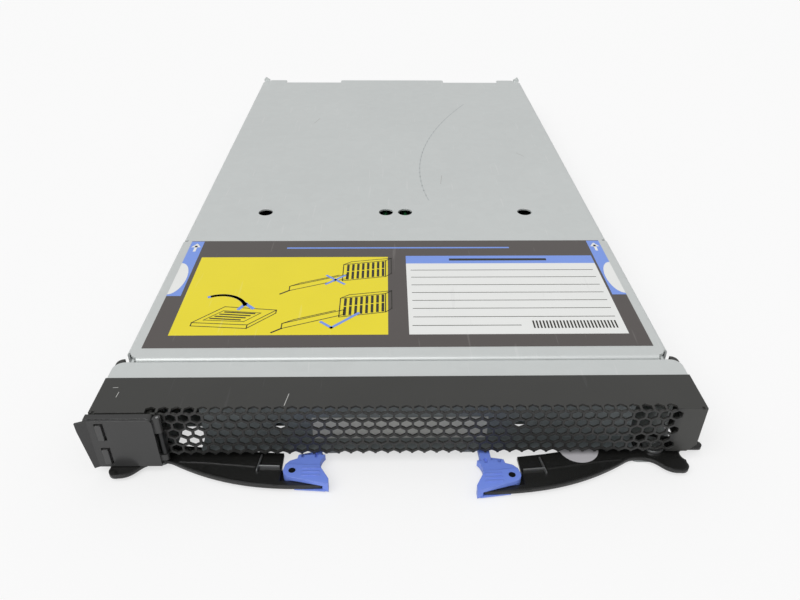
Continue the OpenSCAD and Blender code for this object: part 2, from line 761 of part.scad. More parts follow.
// Blue release latch at the inner end of a lever
module latch(side) {
    low = lever_z + latch_clear;
    over = lever_top + 0.3;
    raised = [[25, -6.2], [38, -5.9], [50, -5.2]];
    tip_x = 31.1;
    tail_top = 4.5;
    lip = [[tip_x - 1, -15.9], [42.5, -14.9], [42.5, -13], [tip_x - 1, -13.2]];
    lip_top = lever_z - 0.2;
    rib_w = 0.55;
    rib_h = 0.3;
    rib_x = [32.6, 39.6];
    rib_y = [for (i = [0:2]) -11.6 + 1.9 * i];
    color("cornflowerblue") with_lever(side) difference() {
        union() {
            // lower layer, behind the strip of the lever
            translate([0, 0, low]) linear_extrude(over - low + 0.1) intersection() {
                latch_2d();
                polygon([[20, 12], [20, strip[0][1] + 0.5], strip[0] + [0, 0.5], strip[1] + [0, 0.5], [60, 12]]);
            }
            // middle layer, over the strip
            translate([0, 0, over]) linear_extrude(latch_mid - over) intersection() {
                latch_2d();
                translate([0, -30]) square([60, 30.2]);
            }
            // raised front layer
            translate([0, 0, latch_mid - 0.1]) linear_extrude(latch_high - latch_mid + 0.1) intersection() {
                latch_2d();
                polygon(concat([[20, -20]], [[60, -20]], [for (i = [2:-1:0]) raised[i]]));
            }
            // tail
            translate([0, 0, low]) linear_extrude(tail_top - low) intersection() {
                latch_2d();
                translate([32.6, 0]) square([4.4, 9]);
            }
            // tip that wraps round the end of the strip, with a lip under the strip
            translate([0, 0, latch_low]) linear_extrude(over - latch_low + 0.1) intersection() {
                latch_2d();
                translate([0, -30]) square([tip_x, 19]);
            }
            translate([0, 0, latch_low]) linear_extrude(lip_top - latch_low) polygon(lip);
            for (y = rib_y)
                block([rib_x[0], y - rib_w / 2, latch_high - 0.1], [rib_x[1], y + rib_w / 2, latch_high + rib_h]);
        }
        translate([latch_pin[0], latch_pin[1], 0]) cylinder(r = latch_pin_r + run, h = body_h);
        // two small notches in the rear edge
        for (x = [34, 39.6]) translate([x, -1.2, latch_mid - 0.9]) cube([1.2, 2.5, body_h]);
    }
}

// Steel pin of a latch
module latch_pin(side) {
    color("#303030") with_lever(side) translate([latch_pin[0], latch_pin[1], latch_low])
        cylinder(r = latch_pin_r, h = latch_high - 0.25 - latch_low);
}

// Bent leaf on the lever that pushes the latch home, and its upright root
module latch_spring(side) {
    leaf_t = 0.5;
    leaf_h = 1.2;
    root = [[57, 1], [58, -7.5]];
    tip = [49.2, -5.5];
    joint = [57.5, -5.2];
    color("silver") with_lever(side) translate([0, 0, lever_top]) linear_extrude(leaf_h) {
        polygon([root[0], root[1], root[1] + [leaf_t, 0], root[0] + [leaf_t, 0]]);
        polygon([tip, joint, joint + [leaf_t, leaf_t], tip + [0, leaf_t]]);
    }
}

// ---- board ----

// Places of the board screws, in X and Y
function board_screw_places() = concat(
    [for (s = [-1, 1], y = [57, 200, 336, 420]) [s * 107, y]], [[0, 207], [0, 329]]);

// System board, cut away round the rear connectors
module system_board() {
    hole_r = 1.7;
    color("#1f5a35") translate([0, 0, board_top - board_t]) linear_extrude(board_t) difference() {
        translate([-board_half, board_front]) square([2 * board_half, board_back - board_front]);
        for (s = [-1, 1]) translate([s * rear_conn_x - rear_conn_w / 2, rear_conn_front])
            square([rear_conn_w, board_back]);
        for (p = board_screw_places()) translate(p) circle(hole_r);
    }
}

// Pressed-in standoffs under the board
module board_standoffs() {
    color("goldenrod") for (p = board_screw_places()) translate([p[0], p[1], tray_t]) difference() {
        cylinder(r = 2.8, h = board_top - board_t - tray_t, $fn = 24);
        cylinder(r = 1.5, h = board_top, $fn = 24);
    }
}

// Pan-head screws that hold the board
module board_screws() {
    head_h = 1.5;
    color("silver") for (p = board_screw_places()) translate([p[0], p[1], 0]) {
        translate([0, 0, tray_t]) cylinder(r = 1.5, h = board_top - tray_t, $fn = 24);
        translate([0, 0, board_top]) difference() {
            cylinder(r = 2.9, h = head_h, $fn = 24);
            translate([0, 0, head_h - 0.8]) {
                block([-1.8, -0.35, 0], [1.8, 0.35, 1]);
                block([-0.35, -1.8, 0], [0.35, 1.8, 1]);
            }
        }
    }
}

// Square sockets with their actuation levers
module processor_sockets() {
    w = 52;
    h = 2.8;
    color("#d8d2bd") for (s = [-1, 1]) translate([s * sink_x, sink_y, board_top]) {
        translate([-w / 2, -w / 2, 0]) cube([w, w, h]);
        translate([w / 2 + 1.6, w / 2, h / 2]) rotate([90, 0, 0]) cylinder(r = 0.9, h = w - 4, $fn = 16);
        translate([w / 2 - 1, w / 2 - 2, h / 2 - 0.9]) cube([2.6, 2, 1.8]);
    }
}

// Processor packages: carrier and heat spreader
module processors() {
    carrier_w = 40;
    spreader_w = 36;
    z0 = board_top + 2.8;
    color("darkkhaki") for (s = [-1, 1]) translate([s * sink_x, sink_y, z0]) {
        translate([-carrier_w / 2, -carrier_w / 2, 0]) cube([carrier_w, carrier_w, 0.8]);
        translate([-spreader_w / 2, -spreader_w / 2, 0.8]) cube([spreader_w, spreader_w, 1.2]);
    }
}

sink_base_z = board_top + 4.8;
sink_base_t = 4;
function sink_screw_places() = [for (x = [-1, 1], y = [-1, 1]) [x * (sink_w / 2 - 5), y * (sink_d / 2 - 5)]];

// Finned heat sink with cleared corners for its spring screws
module heat_sink(side) {
    pitch = (sink_w - fin_t) / (fin_count - 1);
    pocket = 10;
    color("silver") on_side(side) translate([sink_x, sink_y, sink_base_z]) difference() {
        union() {
            translate([-sink_w / 2, -sink_d / 2, 0]) cube([sink_w, sink_d, sink_base_t]);
            for (i = [0:fin_count - 1]) translate([-sink_w / 2 + i * pitch, -sink_d / 2, 0])
                cube([fin_t, sink_d, sink_top - sink_base_z]);
        }
        for (p = sink_screw_places()) {
            translate([p[0] + sign(p[0]) * 1 - pocket / 2, p[1] + sign(p[1]) * 1 - pocket / 2, sink_base_t])
                cube([pocket, pocket, body_h]);
            translate([p[0], p[1], -cut]) cylinder(r = 1.7, h = body_h, $fn = 24);
        }
    }
}

// Spring screws that press the heat sinks down, with their washers
module heat_sink_screws() {
    head_z = sink_base_z + sink_base_t;
    color("silver") for (s = [-1, 1], p = sink_screw_places()) translate([s * sink_x + p[0], sink_y + p[1], 0]) {
        translate([0, 0, board_top]) cylinder(r = 1.5, h = head_z - board_top + 4, $fn = 24);
        translate([0, 0, head_z]) cylinder(r = 2.4, h = 4, $fn = 24);
        translate([0, 0, head_z + 4]) cylinder(r = 3.2, h = 2, $fn = 24);
    }
}

// ---- memory ----

function memory_x(i) = (i - (memory_count - 1) / 2) * memory_pitch;

// Long sockets with a pocket and two hinge cheeks at each end
module memory_sockets() {
    half_w = 3.1;
    h = 6;
    slot = 0.75;
    pocket_half = 2.1;
    pocket_in = 67.1;
    color("#23262b") for (i = [0:memory_count - 1]) translate([memory_x(i), memory_y, board_top]) difference() {
        translate([-half_w, -socket_half, 0]) cube([2 * half_w, 2 * socket_half, h]);
        translate([-slot, -module_half - 0.2, 1.8]) cube([2 * slot, 2 * module_half + 0.4, h]);
        for (s = [-1, 1]) mirror([0, s < 0 ? 1 : 0, 0]) {
            translate([-pocket_half, pocket_in, 1]) cube([2 * pocket_half, socket_half, h]);
            translate([-half_w - cut, memory_pivot[0], memory_pivot[1] - board_top]) rotate([0, 90, 0])
                cylinder(r = 0.8 + run, h = 2 * (half_w + cut), $fn = 24);
        }
    }
}

// Low-profile memory modules with a row of packages on each face
module memory_modules() {
    board = 1.27;
    z = [board_top + 1.8, board_top + 19.4];
    package = [10.5, 1, 11];
    per_side = 9;
    color("#2b6b3f") for (i = [0:memory_count - 1]) translate([memory_x(i), memory_y, 0]) {
        block([-board / 2, -module_half, z[0]], [board / 2, module_half, z[1]]);
        for (k = [0:per_side - 1]) translate([0, (k - (per_side - 1) / 2) * 14.2, z[0] + 5])
            block([-board / 2 - package[1], -package[0] / 2, 0], [board / 2 + package[1], package[0] / 2, package[2]]);
    }
}

// Ejector latch at one end of a memory socket
module memory_latch(i, end) {
    half_w = 1.9;
    pin_half = 2.9;
    barrel_r = 1.7;
    top = 22;
    inner = memory_pivot[0] - 1.2;
    outer = memory_pivot[0] + 1.2;
    color("whitesmoke") translate([memory_x(i), memory_y, 0]) mirror([0, end < 0 ? 1 : 0, 0]) {
        along_x(-half_w, 2 * half_w) {
            translate([memory_pivot[0], memory_pivot[1]]) circle(barrel_r);
            polygon([[inner, memory_pivot[1]], [outer, memory_pivot[1]], [outer, top - 1.6], [outer + 3, top - 0.8],
                [outer + 3, top], [inner, top], [inner, 16.4], [inner - 1.1, 15.6], [inner - 1.1, 14.6], [inner, 13.6]]);
        }
        translate([-pin_half, memory_pivot[0], memory_pivot[1]]) rotate([0, 90, 0])
            cylinder(r = 0.8, h = 2 * pin_half, $fn = 24);
    }
}

// ---- drives ----

// Open tray on four feet, with ears for the release lever
module drive_tray(side) {
    x = [37.4, 110.6];
    y = [213, 324];
    t = 1.2;
    wall_h = 12;
    ear_x = 9.4;
    ear_front = 208.8;
    color("#8a8d90") on_side(side) difference() {
        union() {
            block([x[0], y[0], drive_tray_z], [x[1], y[1], drive_tray_z + t]);
            for (w = [x[0], x[1] - t]) block([w, y[0], drive_tray_z], [w + t, y[1], drive_tray_z + wall_h]);
            for (px = [x[0] + 6, x[1] - 6], py = [y[0] + 8, y[1] - 12])
                translate([px, py, board_top]) cylinder(r = 3, h = drive_tray_z - board_top + t / 2, $fn = 24);
            for (e = [-1, 1]) block([drive_x + e * ear_x - t / 2, ear_front, drive_tray_z],
                [drive_x + e * ear_x + t / 2, y[0] + 1, drive_tray_z + 5]);
        }
        translate([drive_x - 12, drive_pivot[0], drive_pivot[1]]) rotate([0, 90, 0])
            cylinder(r = 0.9 + run, h = 24, $fn = 24);
        // weight-saving windows in the tray floor
        for (wy = [240, 278]) translate([drive_x, wy, drive_tray_z - cut]) linear_extrude(t + 2 * cut)
            rounded_rect(44, 24, 4);
    }
}

// Small-format hard drive with a stepped lid and a round motor boss
module hard_drive(side) {
    half_w = 35;
    half_d = 50;
    z = [drive_tray_z + 1.2, drive_tray_z + 14.4];
    color("#a9acae") on_side(side) translate([drive_x, drive_y, 0]) difference() {
        union() {
            block([-half_w, -half_d, z[0]], [half_w, half_d, z[1]]);
            translate([0, 4, z[1]]) linear_extrude(0.6) rounded_rect(2 * half_w - 6, 2 * half_d - 14, 6);
        }
        translate([4, 14, z[1] + 0.2]) difference() {
            cylinder(r = 13, h = 1);
            translate([0, 0, -cut]) cylinder(r = 11, h = 3);
        }
    }
}

// Blue release lever at the front of a drive tray
module drive_lever(side) {
    half_w = 8;
    plate = [210.5, 212.5];
    top = 19.5;
    barrel_r = 1.6;
    color("cornflowerblue") on_side(side) translate([drive_x, 0, 0]) {
        along_x(-half_w, 2 * half_w) {
            translate(drive_pivot) circle(barrel_r);
            polygon([[plate[0], drive_pivot[1]], [plate[1], drive_pivot[1]], [plate[1], top],
                [plate[0] - 3, top], [plate[0] - 3, top - 1.2], [plate[0], top - 2.4]]);
        }
        translate([-half_w - 1.9, drive_pivot[0], drive_pivot[1]]) rotate([0, 90, 0])
            cylinder(r = 0.9, h = 2 * half_w + 3.8, $fn = 24);
    }
}

// Upright connectors that the drives plug into
module drive_connectors() {
    color("#202020") for (s = [-1, 1]) difference() {
        block([s * drive_x - 22, drive_y + 50, drive_tray_z + 1.2], [s * drive_x + 22, drive_y + 55.5, drive_tray_z + 11]);
        block([s * drive_x - 19, drive_y + 50 - cut, drive_tray_z + 3.4],
            [s * drive_x + 19, drive_y + 52.5, drive_tray_z + 6.2]);
    }
}

// ---- rear and small board parts ----

// Midplane connector with two guide bores and a field of contact slots
module rear_connector(side) {
    guide_x = 19;
    guide_z = 9;
    slot = [1.2, 2.2];
    cols = 12;
    col_pitch = 2.2;
    step = 4;
    color("#2a2a2c") on_side(side) translate([rear_conn_x, 0, 0]) difference() {
        union() {
            block([-rear_conn_w / 2, rear_conn_front, rear_conn_z[0]], [rear_conn_w / 2, body_d - step, rear_conn_z[1]]);
            block([-rear_conn_w / 2 + 0.8, rear_conn_front + 1, rear_conn_z[0] + 0.8],
                [rear_conn_w / 2 - 0.8, body_d, rear_conn_z[1] - 0.8]);
        }
        for (x = [-guide_x, guide_x]) translate([x, body_d - guide_depth, guide_z]) rotate([-90, 0, 0])
            cylinder(r = guide_r, h = guide_depth + cut);
        for (i = [0:cols - 1], k = [0, 1])
            translate([(i - (cols - 1) / 2) * col_pitch - slot[0] / 2, body_d - 5, 5.6 + k * 4.4])
                cube([slot[0], 5 + cut, slot[1]]);
    }
}

// Mezzanine connectors for an expansion card
module expansion_connector() {
    color("#e8e2d0") for (s = [-1, 1]) translate([s * 18, 338, board_top]) difference() {
        block([-14, 0, 0], [14, 6, 5]);
        block([-12.5, 2.2, 2], [12.5, 3.8, 6]);
    }
}

battery_place = [26, 378];

// Coin cell
module battery() {
    color("silver") translate([battery_place[0], battery_place[1], board_top + 1]) {
        cylinder(r = 10, h = 2.6);
        translate([0, 0, 2.6]) cylinder(r = 8.8, h = 0.6);
    }
}

// Ring-shaped holder of the coin cell, open on one side
module battery_holder() {
    color("#1f1f1f") translate([battery_place[0], battery_place[1], board_top]) difference() {
        cylinder(r = 12, h = 4);
        translate([0, 0, 1]) cylinder(r = 10, h = 4);
        translate([-4, -14, 1]) cube([8, 8, 4]);
    }
}

// Power stage coils behind the heat sinks and near the rear connectors
module power_inductors() {
    h = 7;
    color("#3a3a3e") for (s = [-1, 1], x = [44, 60, 76, 92]) translate([s * x, 174, board_top]) {
        linear_extrude(h) rounded_rect(10, 10, 2);
    }
    color("#3a3a3e") for (x = [-24, -8]) translate([x, 400, board_top]) linear_extrude(h) rounded_rect(12, 12, 2);
}

// Can capacitors
module capacitors() {
    can_h = 9;
    places = concat([for (s = [-1, 1], x = [38, 50, 62, 74, 86, 98]) [s * x, 189]],
        [for (x = [-26, -14, -2, 10]) [x, 420]]);
    color("#b9bcc4") for (p = places) translate([p[0], p[1], board_top]) {
        cylinder(r = 4, h = can_h, $fn = 24);
        translate([-4.2, -4.2, 0]) cube([8.4, 8.4, 1.2]);
    }
}

// Flat packages: chipset, network, service and storage chips
module logic_chips() {
    // centre X, centre Y, side, height
    chips = [[0, 262, 31, 2.4], [0, 300, 23, 1.8], [-24, 362, 23, 1.8], [-24, 385, 12, 1.2], [0, 362, 14, 1.4]];
    color("#26282a") for (c = chips) translate([c[0] - c[2] / 2, c[1] - c[2] / 2, board_top]) cube([c[2], c[2], c[3]]);
}

// ---- assembly ----
placed() base_tray();
placed() cover_pins();
placed() system_board();
placed() board_standoffs();
placed() board_screws();
placed() processor_sockets();
placed() processors();
placed() heat_sink(-1);  // heat_sink_left
placed() heat_sink(1);  // heat_sink_right
placed() heat_sink_screws();
placed() memory_sockets();
placed() memory_modules();
placed() memory_latch(0, -1);  // memory_latch_1_front
placed() memory_latch(0, 1);  // memory_latch_1_rear
placed() memory_latch(1, -1);  // memory_latch_2_front
placed() memory_latch(1, 1);  // memory_latch_2_rear
placed() memory_latch(2, -1);  // memory_latch_3_front
placed() memory_latch(2, 1);  // memory_latch_3_rear
placed() memory_latch(3, -1);  // memory_latch_4_front
placed() memory_latch(3, 1);  // memory_latch_4_rear
placed() drive_tray(-1);  // drive_tray_left
placed() drive_tray(1);  // drive_tray_right
placed() hard_drive(-1);  // hard_drive_left
placed() hard_drive(1);  // hard_drive_right
placed() drive_lever(-1);  // drive_lever_left
placed() drive_lever(1);  // drive_lever_right
placed() drive_connectors();
placed() rear_connector(-1);  // rear_connector_left
placed() rear_connector(1);  // rear_connector_right
placed() expansion_connector();
placed() battery();
placed() battery_holder();
placed() power_inductors();
placed() capacitors();
placed() logic_chips();
placed() front_bezel();
placed() bezel_carrier();
placed() inner_shield();
placed() shield_label();
placed() panel_housing();
placed() control_card();
placed() light_pipes();
placed() power_button();
placed() panel_door();
placed() door_pin();
placed() select_button(select_z[0]);  // upper_select_button
placed() select_button(select_z[1]);  // lower_select_button
placed() ejector_lever(-1);  // ejector_lever_left
placed() ejector_lever(1);  // ejector_lever_right
placed() lever_pivots();
placed() latch(-1);  // latch_left
placed() latch(1);  // latch_right
placed() latch_pin(-1);  // latch_pin_left
placed() latch_pin(1);  // latch_pin_right
placed() latch_spring(-1);  // latch_spring_left
placed() latch_spring(1);  // latch_spring_right
placed() cover();
placed() cover_label();
placed() cover_release(-1);  // cover_release_left
placed() cover_release(1);  // cover_release_right
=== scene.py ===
import math

import bpy
import numpy as np
from mathutils import Matrix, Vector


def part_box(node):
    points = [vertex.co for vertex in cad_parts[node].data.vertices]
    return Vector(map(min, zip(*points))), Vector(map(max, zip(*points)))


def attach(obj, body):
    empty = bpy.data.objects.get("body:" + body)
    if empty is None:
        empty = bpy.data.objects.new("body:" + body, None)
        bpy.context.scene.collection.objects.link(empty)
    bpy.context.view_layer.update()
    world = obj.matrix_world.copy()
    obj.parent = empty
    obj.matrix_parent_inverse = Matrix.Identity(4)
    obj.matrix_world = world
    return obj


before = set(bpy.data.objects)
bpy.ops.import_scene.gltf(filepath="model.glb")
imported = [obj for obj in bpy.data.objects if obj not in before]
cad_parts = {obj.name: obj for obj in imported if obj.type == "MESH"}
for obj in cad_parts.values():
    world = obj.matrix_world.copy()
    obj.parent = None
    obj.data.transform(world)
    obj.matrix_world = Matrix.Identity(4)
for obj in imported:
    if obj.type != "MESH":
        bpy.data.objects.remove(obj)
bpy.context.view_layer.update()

# ---------------------------------------------------------------------------
# Camera
# It stands in front of the bezel, above the blade, and looks down at about
# 34 degrees. Its place and turn are given as a point and three directions.
# ---------------------------------------------------------------------------
# millimetres from the face of the bezel back to the middle of the frame
middle_y = 212.965
eye = np.array([-5.141, -202.752 - middle_y, 217.01]) / 1000
yaw, pitch, roll = np.radians([1.261, 33.752, 0.475])
ahead = np.array([math.sin(yaw) * math.cos(pitch), math.cos(yaw) * math.cos(pitch), -math.sin(pitch)])
level = np.array([math.cos(yaw), -math.sin(yaw), 0.0])
upright = np.cross(level, ahead)
right_hand = math.cos(roll) * level + math.sin(roll) * upright
top_side = -math.sin(roll) * level + math.cos(roll) * upright
# focal length as a share of the sensor's width
focal_share = 0.865625
lens = bpy.data.cameras.new("camera")
lens.sensor_width = 36
lens.lens = focal_share * 36
lens.clip_start = 0.01
lens.clip_end = 20
camera = bpy.data.objects.new("camera", lens)
bpy.context.scene.collection.objects.link(camera)
placed = Matrix.Identity(4)
for row in range(3):
    placed[row][0] = right_hand[row]
    placed[row][1] = top_side[row]
    placed[row][2] = -ahead[row]
    placed[row][3] = eye[row]
camera.matrix_world = placed
bpy.context.scene.camera = camera
bpy.context.scene.view_settings.view_transform = "Standard"

# ---------------------------------------------------------------------------
# Floor and light
# A plain pale floor, a wide soft sky that is brighter overhead, and one soft
# lamp from the upper left. Seen directly, the sky is one even pale tone.
# ---------------------------------------------------------------------------


def mesh_piece(name, points, faces):
    """Makes one mesh object from an array of points in metres and a list of faces."""
    mesh = bpy.data.meshes.new(name)
    mesh.from_pydata(np.asarray(points, float).reshape(-1, 3).tolist(), [], [list(f) for f in faces])
    mesh.update()
    piece = bpy.data.objects.new(name, mesh)
    bpy.context.scene.collection.objects.link(piece)
    return piece


def node_in(tree, kind, inputs=None, **values):
    """Adds a node, sets its values, and links or sets the named inputs."""
    made = tree.nodes.new(kind)
    for key, value in values.items():
        setattr(made, key, value)
    for key, value in (inputs or {}).items():
        if isinstance(value, bpy.types.NodeSocket):
            tree.links.new(value, made.inputs[key])
        else:
            made.inputs[key].default_value = value
    return made


def maths(tree, operation, *values):
    """Adds a Math node and returns its result."""
    return node_in(tree, "ShaderNodeMath", dict(enumerate(values)), operation=operation).outputs[0]


floor_half = 4.0
floor_z = -0.0002
floor_white = 0.97
# how much of the floor's look, seen directly, is plain white; the rest keeps the shadow
glow_share = 0.62
floor = mesh_piece("floor", [[-floor_half, -floor_half, floor_z], [floor_half, -floor_half, floor_z],
                             [floor_half, floor_half, floor_z], [-floor_half, floor_half, floor_z]], [[0, 1, 2, 3]])
floor_paper = bpy.data.materials.new("floor_paper")
floor_paper.use_nodes = True
paper_tree = floor_paper.node_tree
paper = paper_tree.nodes["Principled BSDF"]
paper.inputs["Base Color"].default_value = (floor_white, floor_white, floor_white, 1)
paper.inputs["Roughness"].default_value = 0.9
paper.inputs["Specular IOR Level"].default_value = 0.1
paper_rays = node_in(paper_tree, "ShaderNodeLightPath")
paper_part = maths(paper_tree, "MULTIPLY", paper_rays.outputs["Is Camera Ray"], glow_share)
paper_glow = node_in(paper_tree, "ShaderNodeEmission", {"Strength": 1.0})
paper_mix = node_in(paper_tree, "ShaderNodeMixShader", {0: paper_part, 1: paper.outputs[0], 2: paper_glow.outputs[0]})
paper_tree.links.new(paper_mix.outputs[0], paper_tree.nodes["Material Output"].inputs["Surface"])
floor.data.materials.append(floor_paper)

world = bpy.data.worlds.new("studio")
bpy.context.scene.world = world
world.use_nodes = True
sky = world.node_tree
sky.nodes.clear()
sky_rays = node_in(sky, "ShaderNodeLightPath")
sky_place = node_in(sky, "ShaderNodeTexCoord")
sky_split = node_in(sky, "ShaderNodeSeparateXYZ", {0: sky_place.outputs["Generated"]})
# strength from just below the horizon to nearly overhead
sky_ramp = node_in(sky, "ShaderNodeMapRange", {
    "Value": sky_split.outputs["Z"], "From Min": -0.1, "From Max": 0.9, "To Min": 0.45, "To Max": 0.78})
sky_light = node_in(sky, "ShaderNodeBackground", {"Strength": sky_ramp.outputs[0]})
sky_seen = node_in(sky, "ShaderNodeBackground", {"Strength": 1.0})
sky_mix = node_in(sky, "ShaderNodeMixShader", {
    0: sky_rays.outputs["Is Camera Ray"], 1: sky_light.outputs[0], 2: sky_seen.outputs[0]})
node_in(sky, "ShaderNodeOutputWorld", {0: sky_mix.outputs[0]})

lamp = bpy.data.lights.new("soft_lamp", "SUN")
lamp.energy = 1.35
lamp.angle = math.radians(55)
lamp_stand = bpy.data.objects.new("soft_lamp", lamp)
lamp_stand.rotation_euler = (math.radians(28), math.radians(-22), 0)
bpy.context.scene.collection.objects.link(lamp_stand)

# ---------------------------------------------------------------------------
# Finishes
# Groups of shader nodes that several materials share: the grain of moulded
# plastic, the spangle of zinc-plated sheet, fine scratches, and edges painted paler, partly as wear and partly as a
# painted highlight.
# ---------------------------------------------------------------------------


def shader_group(name, inputs, outputs):
    """Starts a node group with the named sockets and returns it with its two end nodes."""
    group = bpy.data.node_groups.new(name, "ShaderNodeTree")
    for socket, kind, value in inputs:
        made = group.interface.new_socket(socket, in_out="INPUT", socket_type=kind)
        if value is not None:
            made.default_value = value
    for socket, kind in outputs:
        group.interface.new_socket(socket, in_out="OUTPUT", socket_type=kind)
    return group, group.nodes.new("NodeGroupInput"), group.nodes.new("NodeGroupOutput")


def noise(tree, vector, scale, detail):
    """Adds a Noise Texture and returns its value."""
    return node_in(tree, "ShaderNodeTexNoise", {"Vector": vector, "Scale": scale, "Detail": detail}).outputs[0]


def ramp(tree, value, start, end):
    """Adds a Map Range from 0 at the start to 1 at the end and returns its result."""
    return node_in(tree, "ShaderNodeMapRange", {"Value": value, "From Min": start, "From Max": end}).outputs[0]


def blend(tree, factor, low, high):
    """Mixes two colours by a factor and returns the mixed colour."""
    return node_in(tree, "ShaderNodeMix", {"Factor": factor, 6: low, 7: high}, data_type="RGBA").outputs[2]


# grain of a moulded surface: a fine noise for its height and a broad one for its tone
moulded_grain, g_in, g_out = shader_group(
    "moulded_grain", [("Vector", "NodeSocketVector", None), ("Scale", "NodeSocketFloat", 1500.0)],
    [("Height", "NodeSocketFloat"), ("Tone", "NodeSocketFloat")])
fine = noise(moulded_grain, g_in.outputs["Vector"], g_in.outputs["Scale"], 2.0)
broad = noise(moulded_grain, g_in.outputs["Vector"], 45.0, 3.0)
moulded_grain.links.new(fine, g_out.inputs["Height"])
moulded_grain.links.new(broad, g_out.inputs["Tone"])

# spangle of zinc: soft crystals of a few millimetres and broad clouds, over a fine rolled grain
zinc_spangle, g_in, g_out = shader_group(
    "zinc_spangle", [("Vector", "NodeSocketVector", None), ("Crystal", "NodeSocketFloat", 260.0)],
    [("Tone", "NodeSocketFloat"), ("Height", "NodeSocketFloat")])
crystals = node_in(zinc_spangle, "ShaderNodeTexVoronoi", {
    "Vector": g_in.outputs["Vector"], "Scale": g_in.outputs["Crystal"]})
clouds = noise(zinc_spangle, g_in.outputs["Vector"], 18.0, 4.0)
stretch = node_in(zinc_spangle, "ShaderNodeMapping", {
    "Vector": g_in.outputs["Vector"], "Scale": (900.0, 40.0, 900.0)})
rolled = noise(zinc_spangle, stretch.outputs[0], 1.0, 2.0)
crystal_tone = node_in(zinc_spangle, "ShaderNodeSeparateColor", {"Color": crystals.outputs["Color"]})
crystal_part = maths(zinc_spangle, "MULTIPLY", crystal_tone.outputs[0], 0.25)
sum_tone = maths(zinc_spangle, "MULTIPLY_ADD", clouds, 0.75, crystal_part)
zinc_spangle.links.new(sum_tone, g_out.inputs["Tone"])
zinc_spangle.links.new(rolled, g_out.inputs["Height"])

# fine scratches: three stretched and turned noises, each kept above a narrow band of its values
fine_scratches, g_in, g_out = shader_group(
    "fine_scratches", [("Vector", "NodeSocketVector", None), ("Amount", "NodeSocketFloat", 0.5)],
    [("Mask", "NodeSocketFloat")])
masks = []
for turn, spread in ((0.5, 30.0), (1.9, 22.0), (2.8, 38.0)):
    turned = node_in(fine_scratches, "ShaderNodeMapping", {
        "Vector": g_in.outputs["Vector"], "Rotation": (0.0, 0.0, turn), "Scale": (spread * 16, spread, spread)})
    masks.append(ramp(fine_scratches, noise(fine_scratches, turned.outputs[0], 1.0, 1.0), 0.735, 0.765))
first_two = maths(fine_scratches, "MAXIMUM", masks[0], masks[1])
all_three = maths(fine_scratches, "MAXIMUM", first_two, masks[2])
scaled = maths(fine_scratches, "MULTIPLY", all_three, g_in.outputs["Amount"])
fine_scratches.links.new(scaled, g_out.inputs["Mask"])

# wear and painted highlight on edges: how far the rounded normal leans away from the face, broken up by noise, makes
# the edge colour paler
worn_lit_edges, g_in, g_out = shader_group(
    "worn_lit_edges", [("Rounded", "NodeSocketVector", None), ("Face", "NodeSocketVector", None),
                     ("Vector", "NodeSocketVector", None), ("Amount", "NodeSocketFloat", 0.5)],
    [("Mask", "NodeSocketFloat")])
lean = node_in(worn_lit_edges, "ShaderNodeVectorMath", {
    0: g_in.outputs["Rounded"], 1: g_in.outputs["Face"]}, operation="DOT_PRODUCT")
away = ramp(worn_lit_edges, lean.outputs["Value"], 0.995, 0.80)
patches = ramp(worn_lit_edges, noise(worn_lit_edges, g_in.outputs["Vector"], 160.0, 3.0), 0.42, 0.62)
worn_lit = maths(worn_lit_edges, "MULTIPLY", away, patches)
worn_lit_amount = maths(worn_lit_edges, "MULTIPLY", worn_lit, g_in.outputs["Amount"])
worn_lit_edges.links.new(worn_lit_amount, g_out.inputs["Mask"])


def tint(colour, factor):
    """A colour made lighter or darker by a factor, as four numbers."""
    return tuple(min(1.0, c * factor) for c in colour[:3]) + (1.0,)


def from_hex(text):
    """A screen colour written in hexadecimal, as linear light."""
    parts = np.array([int(text[i:i + 2], 16) for i in (0, 2, 4)]) / 255
    return tuple(np.where(parts <= 0.04045, parts / 12.92, ((parts + 0.055) / 1.055) ** 2.4)) + (1.0,)


# metres between the low and the high places of a grain
relief_depth = 0.0002


